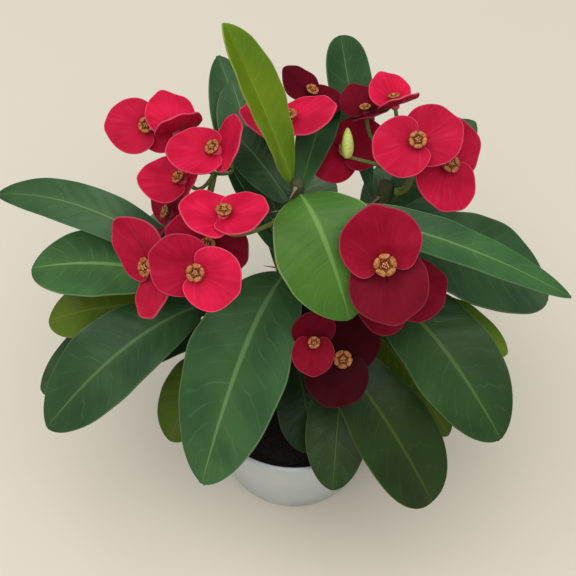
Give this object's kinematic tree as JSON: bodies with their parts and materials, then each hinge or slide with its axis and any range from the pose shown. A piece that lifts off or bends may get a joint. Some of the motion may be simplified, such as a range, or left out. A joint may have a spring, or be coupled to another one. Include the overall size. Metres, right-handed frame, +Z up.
{
  "type": "crown of thorns plant",
  "caption": "Potted crown of thorns plant: woody thorned stems, long leathery leaves and heads of round red paired bracts in a plain white tapered pot.",
  "frame": {"origin": "centre of the flat underside of the pot", "axes": "+Z up along the pot; -Y is the front, the side that faces the viewer; +X is to the viewer's right"},
  "size_m": [0.3093, 0.2121, 0.3456],
  "materials": {
    "pot_plastic": "smooth white plastic with a faint cool tint, soft sheen",
    "potting_soil": null,
    "stem_bark": "grey-brown bark, dry and rough",
    "stalk_green": null,
    "leaf_mature": "leathery dark green leaf with a lighter midrib and side veins, soft sheen",
    "leaf_fresh": "fresh light green leaf with pale veins, soft sheen",
    "leaf_young": "yellow-green young leaf, soft sheen",
    "bract_red": "velvety crimson bract with a faint pale rim"
  },
  "bodies": {
    "root": {"pot": "pot_plastic", "soil": "potting_soil", "stem_centre": "stem_bark", "stem_left": "stem_bark", "stem_right": "stem_bark", "leaf_top_front": "leaf_fresh", "leaf_top_young": "leaf_young", "leaf_top_folded": "leaf_mature", "leaf_top_back": "leaf_mature", "leaf_front_large": "leaf_mature", "leaf_front_low": "leaf_mature", "leaf_front_right": "leaf_mature", "leaf_front_inner": "leaf_mature", "leaf_back_tall": "leaf_mature", "leaf_back_blunt": "leaf_mature", "leaf_back_low": "leaf_mature", "leaf_right_long": "leaf_mature", "leaf_left_front": "leaf_mature", "leaf_left_yellow": "leaf_young", "leaf_left_middle": "leaf_mature", "leaf_left_long": "leaf_mature", "leaf_left_low": "leaf_mature", "leaf_left_olive": "leaf_young", "leaf_left_back": "leaf_mature", "leaf_right_under": "leaf_mature", "leaf_right_front": "leaf_mature", "leaf_right_fresh": "leaf_young", "leaf_right_low": "leaf_young", "leaf_right_tip": "leaf_mature", "leaf_right_top": "leaf_mature", "leaf_right_back": "leaf_mature", "stalks_left_back": "stalk_green", "stalks_left_front": "stalk_green", "stalks_centre_left": "stalk_green", "stalks_centre_back": "stalk_green", "stalks_right_back": "stalk_green", "stalks_right_front": "stalk_green", "stalks_centre_front": "stalk_green", "bloom_left_outer": "bract_red", "bloom_left_high": "bract_red", "bloom_left_inner": "bract_red", "bloom_left_side": "bract_red", "bloom_left_below": "bract_red", "bloom_left_centre": "bract_red", "bloom_left_lower": "bract_red", "bloom_left_front": "bract_red", "bloom_left_corner": "bract_red", "bloom_top_back": "bract_red", "bloom_top_dark": "bract_red", "bloom_right_inner": "bract_red", "bloom_right_dark": "bract_red", "bloom_right_high": "bract_red", "bloom_right_centre": "bract_red", "bloom_right_outer": "bract_red", "bloom_front_right": "bract_red", "bloom_front_side": "bract_red", "bloom_front_low": "bract_red", "bloom_front_dark": "bract_red"}
  },
  "joints": []
}
